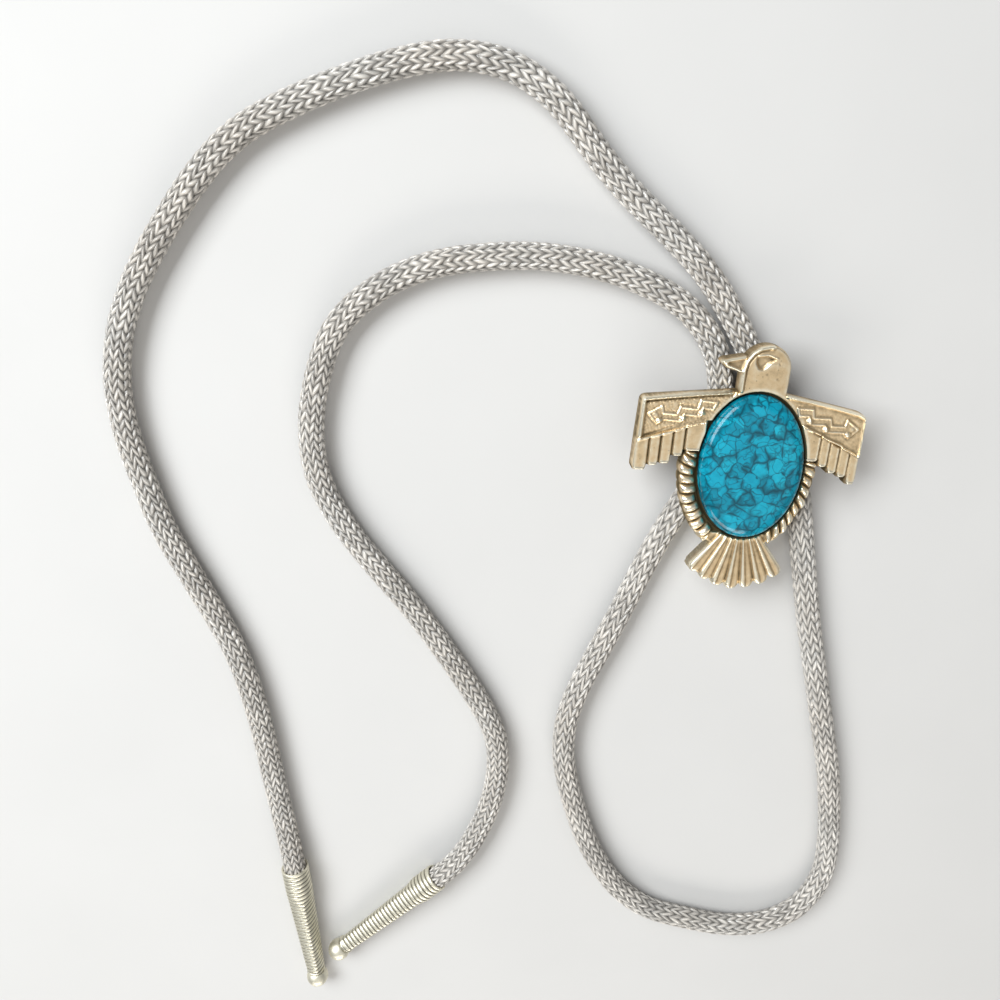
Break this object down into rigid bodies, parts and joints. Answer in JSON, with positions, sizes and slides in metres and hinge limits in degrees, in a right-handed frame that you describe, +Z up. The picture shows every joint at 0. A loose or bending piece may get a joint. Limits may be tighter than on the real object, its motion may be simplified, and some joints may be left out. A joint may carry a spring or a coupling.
{
  "type": "bolo tie",
  "caption": "Bolo tie with a cast silver bird slide and an oval turquoise-coloured stone, on a grey braided cord with ribbed metal tips, laid flat on a surface.",
  "frame": {"origin": "on the surface that the tie lies on, under the middle of the bird slide", "axes": "+Z up from the surface, +Y from the bird's tail to its head, +X to the right seen from above"},
  "size_m": [0.1896, 0.2486, 0.0135],
  "materials": {
    "cast_silver": "warm silver casting, worn bright on the crests",
    "stone": "polished blue with dark veins",
    "clip_steel": "plain satin",
    "braid": "glossy grey braid",
    "tip_metal": "bright pale silver"
  },
  "bodies": {
    "root": {"bird_casting": "cast_silver", "turquoise_cabochon": "stone", "cord_clip": "clip_steel", "cord_outer_run": "braid", "cord_inner_run": "braid", "cord_neck_loop": "braid", "tip_outer": "tip_metal", "tip_inner": "tip_metal"}
  },
  "joints": []
}
